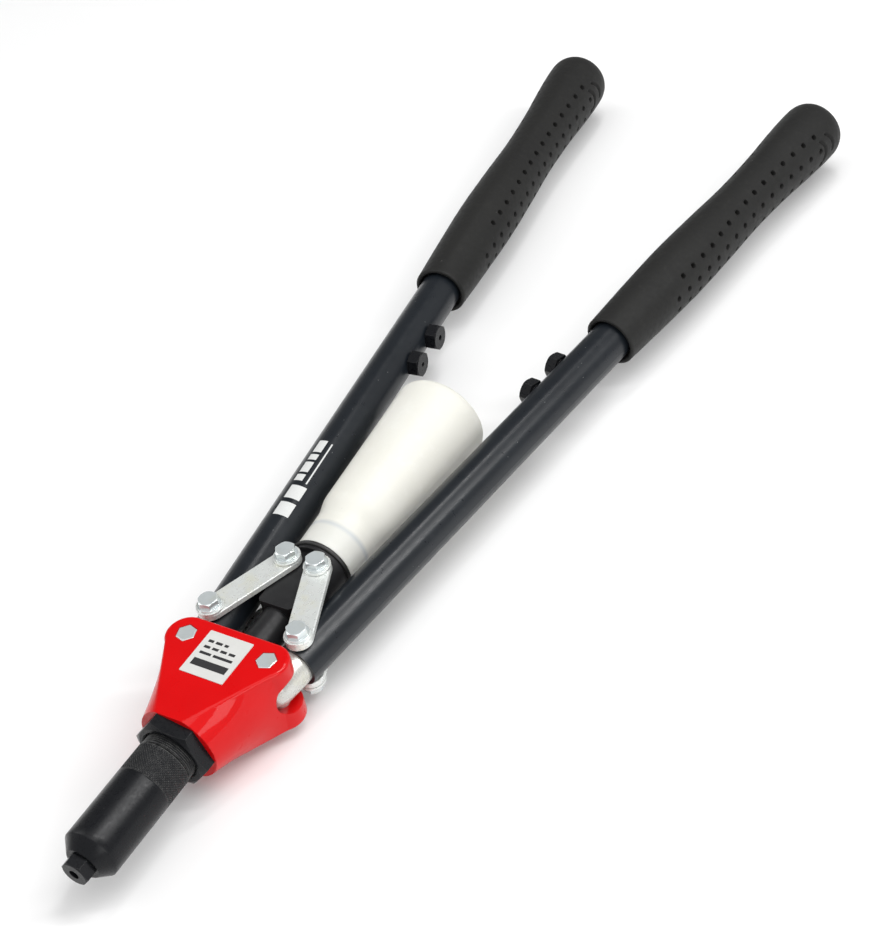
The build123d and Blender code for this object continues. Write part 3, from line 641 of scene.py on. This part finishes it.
def dimples(side):
    """Centres (station, angle in radians) of every dimple of one grip."""
    centres = []
    for flank in (-1, 1):
        for angle, bow, first, count in DIMPLE_ROWS[side]:
            for index in range(count):
                station = first + index * DIMPLE_PITCH
                sag = max(0, 1 - ((station - DIMPLE_WAIST) / DIMPLE_BOW_REACH) ** 2)
                centres.append((station, flank * radians(angle + bow * sag)))
    return centres


def ridge(side, angle):
    """Height of the mould ridges along the grip's top and underside."""
    height = 0
    for middle in RIDGE_ANGLES[side]:
        away = abs((degrees(angle) - middle + 180) % 360 - 180)
        height += RIDGE_HEIGHT * exp(-away / RIDGE_SPREAD)
    return height


def groove_depth(side, station, angle):
    """Depth of the two grooves that curl round each flank near the grip's end."""
    depth = 0
    swing = degrees(abs(angle))
    for along, first, last in GROOVES[side]:
        curl = GROOVE_CURL * ((swing - GROOVE_MIDDLE_ANGLE) / GROOVE_REACH_ANGLE) ** 2
        middle = GRIP_STARTS[side] + along - curl
        from_first = max(0, (swing - first) / GROOVE_RUNOUT_ANGLE)
        from_last = max(0, (last - swing) / GROOVE_RUNOUT_ANGLE)
        across = abs(station - middle) / GROOVE_HALF_WIDTH
        if across < GROOVE_FLANK:
            runout = min(1, from_first, from_last)
            flank = min(1, GROOVE_FLANK - across)
            depth = max(depth, runout * GROOVE_DEPTH * flank)
    return depth


def lip_rows(start):
    """Rows (station, radius) from the bore behind the mouth, over the lip, to the outside."""
    return [
        (start + MOUTH_DEPTH, TUBE_REST),
        (start + MOUTH_DEPTH - 0.6, MOUTH_RADIUS),
        # rounded edge of the mouth
        (start + 0.7, MOUTH_RADIUS),
        (start + 0.15, MOUTH_RADIUS + 0.4),
        (start, MOUTH_RADIUS + 0.9),
        (start + 0.15, 12.2),
        (start + 0.7, 12.55),
    ]


def crown_rows(last_station, last_radius, end):
    """Rows (station, radius) that round off the grip's end, down to its middle."""
    rows = []
    for step in range(1, CROWN_ROWS + 1):
        swing = step / CROWN_ROWS * pi / 2
        station = last_station + (end - last_station) * sin(swing)
        fall = (last_radius - CROWN_MIDDLE_RADIUS) * cos(swing) ** CROWN_FULLNESS
        rows.append((station, CROWN_MIDDLE_RADIUS + fall))
    return rows + [(end, 6.0), (end, 3.0), (end, 0.4)]


def grip_angles():
    """Angles once round the grip, close together on the dimpled flanks."""
    flank = spread(FLANK_FROM, FLANK_TO, FINE_ANGLE)
    top = spread(-FLANK_FROM, FLANK_FROM, COARSE_ANGLE)[1:-1]
    return top + flank + [pi + angle for angle in top] + [2 * pi - angle for angle in flank[::-1]]


def into_dimple(station, angle, turn, radius, centres):
    """Station, angle and sinking of a point: near a rim it moves onto it, inside it sinks."""
    for centre, centre_angle in centres:
        ahead = station - centre
        beside = (turn - centre_angle) * radius
        away = hypot(ahead, beside)
        if away <= DIMPLE_RADIUS - 0.5 * FINE_STEP:
            return station, angle, True
        if away <= DIMPLE_RADIUS + 0.5 * FINE_STEP:
            pull = DIMPLE_RADIUS / away
            return centre + ahead * pull, angle + (pull - 1) * beside / radius, False
    return station, angle, False


def grip(side, name):
    """One grip, as rows from its mouth's bore, over the lip, along the outside and over the crown."""
    start = GRIP_STARTS[side]
    end = start + GRIP_LENGTH
    fine_start, fine_end = start + FINE_FROM_MOUTH, end - FINE_TO_END
    outside = spread(start + LIP_LENGTH, fine_start, COARSE_STEP)[:-1]
    outside += spread(fine_start, fine_end, FINE_STEP)
    lip = lip_rows(start)
    crown = crown_rows(outside[-1], smooth_radius(outside[-1] - start), end)
    angles = grip_angles()
    centres = dimples(side)

    points = [arm_point(side, s, r, a) for s, r in lip for a in angles]
    for row_station in outside:
        radius = smooth_radius(row_station - start)
        near = [c for c in centres if abs(c[0] - row_station) < DIMPLE_RADIUS + FINE_STEP]
        fade_in = (row_station - start - RIDGE_FROM_MOUTH) / RIDGE_FADE_IN
        fade_out = (outside[-1] - row_station) / RIDGE_FADE_OUT
        ridge_fade = max(0, min(1, fade_in, fade_out))
        for angle in angles:
            turn = (angle + pi) % (2 * pi) - pi
            depth = groove_depth(side, row_station, turn) - ridge(side, turn) * ridge_fade
            station, at, sunk = into_dimple(row_station, angle, turn, radius, near)
            if sunk:
                depth = DIMPLE_DEPTH
            points.append(arm_point(side, station, radius - depth, at))
    points += [arm_point(side, s, r, a) for s, r in crown for a in angles]

    rows = len(lip) + len(outside) + len(crown)
    columns = len(angles)
    faces = ring_faces(rows, columns, flip=side == RIGHT)
    cap_face = tuple(range((rows - 1) * columns, rows * columns))
    faces.append(cap_face if side == LEFT else cap_face[::-1])
    piece = make_piece(f"dimpled_grip_{name}", points, faces, f"{name}_arm", "grip_rubber", sharp=50)
    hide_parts(f"grip_{name}")


grip(RIGHT, "right")
grip(LEFT, "left")


# Jaw spring: a wire coil that rides on the carriage; the real one shortens as the pusher moves back
# ----------------
SPRING_RADIUS = 4.5
WIRE_RADIUS = 0.55
SPRING_TURNS = 6
POINTS_PER_TURN = 36
WIRE_SIDES = 10


def jaw_spring():
    low, high = (corner.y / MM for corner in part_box("jaw_spring"))
    start = low + WIRE_RADIUS
    pitch = (high - low - 2 * WIRE_RADIUS) / SPRING_TURNS
    rows = SPRING_TURNS * POINTS_PER_TURN + 1
    points = []
    for row in range(rows):
        turn = 2 * pi * row / POINTS_PER_TURN
        out = Vector((cos(turn), 0, sin(turn)))
        for side in range(WIRE_SIDES):
            swing = 2 * pi * side / WIRE_SIDES
            radius = SPRING_RADIUS + WIRE_RADIUS * cos(swing)
            y = start + pitch * row / POINTS_PER_TURN + WIRE_RADIUS * sin(swing)
            points.append(tuple((out * radius + Vector((0, y, 0))) * MM))
    faces = ring_faces(rows, WIRE_SIDES)
    faces += [tuple(range(WIRE_SIDES))[::-1], tuple(range((rows - 1) * WIRE_SIDES, rows * WIRE_SIDES))]
    piece = make_piece("jaw_coil", points, faces, "carriage", "spring_steel")
    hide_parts("jaw_spring")
    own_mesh(piece)


jaw_spring()


# Printing: plain bars in place of the words ----------------------------------------------
INK_THICKNESS = 0.03
LABEL_BAR = (-8.5, 8.5, 94.3, 97.9)   # x from and to, y from and to
LABEL_ROWS = (                   # y of a row of dashes, lengths of its dashes
    (100.4, (5.6, 9.4)),
    (103.6, (3.0, 3.0, 3.0, 3.0)),
    (106.8, (2.6, 3.2, 1.9)),
)
DASH_START_X = -8.3
DASH_WIDTH = 1.3
DASH_GAP = 1.1
TUBE_MARKS = (                   # first and last station, lowest and highest angle from the top
    (77.5, 85.5, -30.0, 15.0),
    (88.0, 96.0, -30.0, 15.0),
    (99.0, 103.0, -6.0, 20.0),
    (104.5, 111.0, -6.0, 20.0),
    (112.5, 116.0, -6.0, 20.0),
    (117.5, 125.0, -6.0, 20.0),
    (98.0, 124.0, -23.0, -19.0),
)
TILE_LENGTH = 4.0                # marks on the tube are laid in tiles of this length
TILE_ANGLE = 4.0                 # and this angle, so that they follow its curve


def slab(points, faces, corners):
    """Add a closed thin block from its four lower and four upper corners."""
    first = len(points)
    points.extend(corners)
    sides = [(i, (i + 1) % 4, (i + 1) % 4 + 4, i + 4) for i in range(4)]
    for face in [(3, 2, 1, 0), (4, 5, 6, 7)] + sides:
        faces.append(tuple(first + i for i in face))


def label_print():
    """One bold bar and three rows of dashes on the rating label."""
    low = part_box("rating_label")[1].z / MM
    high = low + INK_THICKNESS
    bars = [LABEL_BAR]
    for y, lengths in LABEL_ROWS:
        x = DASH_START_X
        for length in lengths:
            bars.append((x, x + length, y, y + DASH_WIDTH))
            x += length + DASH_GAP
    points, faces = [], []
    for x0, x1, y0, y1 in bars:
        ring = [(x0, y0), (x1, y0), (x1, y1), (x0, y1)]
        slab(points, faces, [(x * MM, y * MM, z * MM) for z in (low, high) for x, y in ring])
    make_piece("label_bars", points, faces, "riveter_body", "label_film", BLACK_INK)


def tube_stripes():
    """Plain marks along the upper side of the left tube, two bold ones and a finer row."""
    radii = (TUBE_RADIUS, TUBE_RADIUS + INK_THICKNESS)
    points, faces = [], []
    for start, end, low_turn, high_turn in TUBE_MARKS:
        stations = spread(start, end, TILE_LENGTH)
        turns = spread(low_turn, high_turn, TILE_ANGLE)
        for s0, s1 in zip(stations, stations[1:]):
            for a0, a1 in zip(turns, turns[1:]):
                ring = [(s0, a0), (s0, a1), (s1, a1), (s1, a0)]
                slab(points, faces, [arm_point(LEFT, s, r, radians(a)) for r in radii for s, a in ring])
    make_piece("tube_stripes", points, faces, "left_arm", "label_film", WHITE_INK)


label_print()
tube_stripes()


# Studio, in metres -----------------------------------------------------------------------
FLOOR_HALF = 3.0
SOFTBOXES = (                    # name, azimuth, elevation, distance, size, watts
    ("key_softbox", -75, 42, 1.3, (0.5, 0.9), 3.2),
    ("top_softbox", 20, 82, 1.2, (1.0, 1.0), 3.2),
    ("strip_light", 116, 58, 1.3, (0.10, 1.2), 9),
    ("ridge_light", 170, 65, 1.3, (0.12, 0.3), 2),
    ("front_fill", 55, 24, 1.4, (1.0, 0.6), 5),
)
DARK_FLAG_WAY = (-0.48, 0.57, 0.66)   # the flag hangs this way from the object
DARK_FLAG_EDGE = 0.65            # cosines between which the flag sets in
DARK_FLAG_CORE = 0.9
WORLD_STRENGTH = 0.58
DARK_FLAG_STRENGTH = 0.22

LENS = 81.4                      # focal length for the sensor below, both in millimetres
SENSOR_WIDTH = 36.0
CLIP_START = 0.01
CAMERA_PLACE = (0.46463, -0.29145, 0.61595)
CAMERA_RIGHT = (0.845597, 0.505096, -0.172753)
CAMERA_UP = (-0.236284, 0.644331, 0.727329)
CAMERA_BACK = (0.478681, -0.574209, 0.664190)


def studio_floor():
    low = cad_box[0][2]
    corners = [(-1, -1), (1, -1), (1, 1), (-1, 1)]
    mesh = bpy.data.meshes.new("floor")
    mesh.from_pydata([(FLOOR_HALF * x, FLOOR_HALF * y, low) for x, y in corners], [], [(0, 1, 2, 3)])
    floor = bpy.data.objects.new("floor", mesh)
    bpy.context.scene.collection.objects.link(floor)
    look = Look("pale_floor", Specular_IOR_Level=0.1)
    look.colour(look.mottle((0.86, 0.86, 0.86), (0.88, 0.88, 0.88), 300, 2))
    look.roughness(0.8, 0.9, 40, 3)
    dress(floor, look.material)


def softbox(name, azimuth, elevation, distance, size, watts):
    """Rectangular area light that aims at the middle of the object; angles in degrees."""
    aim = (Vector(cad_box[0]) + Vector(cad_box[1])) / 2
    turn, rise = radians(azimuth), radians(elevation)
    way = Vector((sin(turn) * cos(rise), -cos(turn) * cos(rise), sin(rise)))
    light = bpy.data.lights.new(name, "AREA")
    light.shape = "RECTANGLE"
    light.size, light.size_y = size
    light.energy = watts
    lamp = bpy.data.objects.new(name, light)
    bpy.context.scene.collection.objects.link(lamp)
    lamp.location = aim + way * distance
    lamp.rotation_euler = way.to_track_quat("Z", "Y").to_euler()


def world_light():
    """Even light all round, except for a dark flag that keeps the flat tops from glaring."""
    world = bpy.data.worlds.new("studio")
    world.use_nodes = True
    tree = world.node_tree
    background = tree.nodes["Background"]
    background.inputs["Color"].default_value = (1.0, 1.0, 1.0, 1.0)
    towards_flag = tree.nodes.new("ShaderNodeVectorMath")
    towards_flag.operation = "DOT_PRODUCT"
    towards_flag.inputs[1].default_value = DARK_FLAG_WAY
    tree.links.new(tree.nodes.new("ShaderNodeTexCoord").outputs["Generated"], towards_flag.inputs[0])
    strength = tree.nodes.new("ShaderNodeMapRange")
    strength.inputs["From Min"].default_value = DARK_FLAG_EDGE
    strength.inputs["From Max"].default_value = DARK_FLAG_CORE
    strength.inputs["To Min"].default_value = WORLD_STRENGTH
    strength.inputs["To Max"].default_value = DARK_FLAG_STRENGTH
    tree.links.new(towards_flag.outputs["Value"], strength.inputs["Value"])
    tree.links.new(strength.outputs[0], background.inputs["Strength"])
    bpy.context.scene.world = world


def camera():
    data = bpy.data.cameras.new("camera")
    data.lens = LENS
    data.sensor_width = SENSOR_WIDTH
    data.clip_start = CLIP_START
    eye = bpy.data.objects.new("camera", data)
    bpy.context.scene.collection.objects.link(eye)
    turn = Matrix((CAMERA_RIGHT, CAMERA_UP, CAMERA_BACK)).transposed().to_4x4()
    eye.matrix_world = Matrix.Translation(CAMERA_PLACE) @ turn
    bpy.context.scene.camera = eye


studio_floor()
world_light()
for softbox_values in SOFTBOXES:
    softbox(*softbox_values)
camera()
bpy.context.scene.view_settings.view_transform = "Standard"
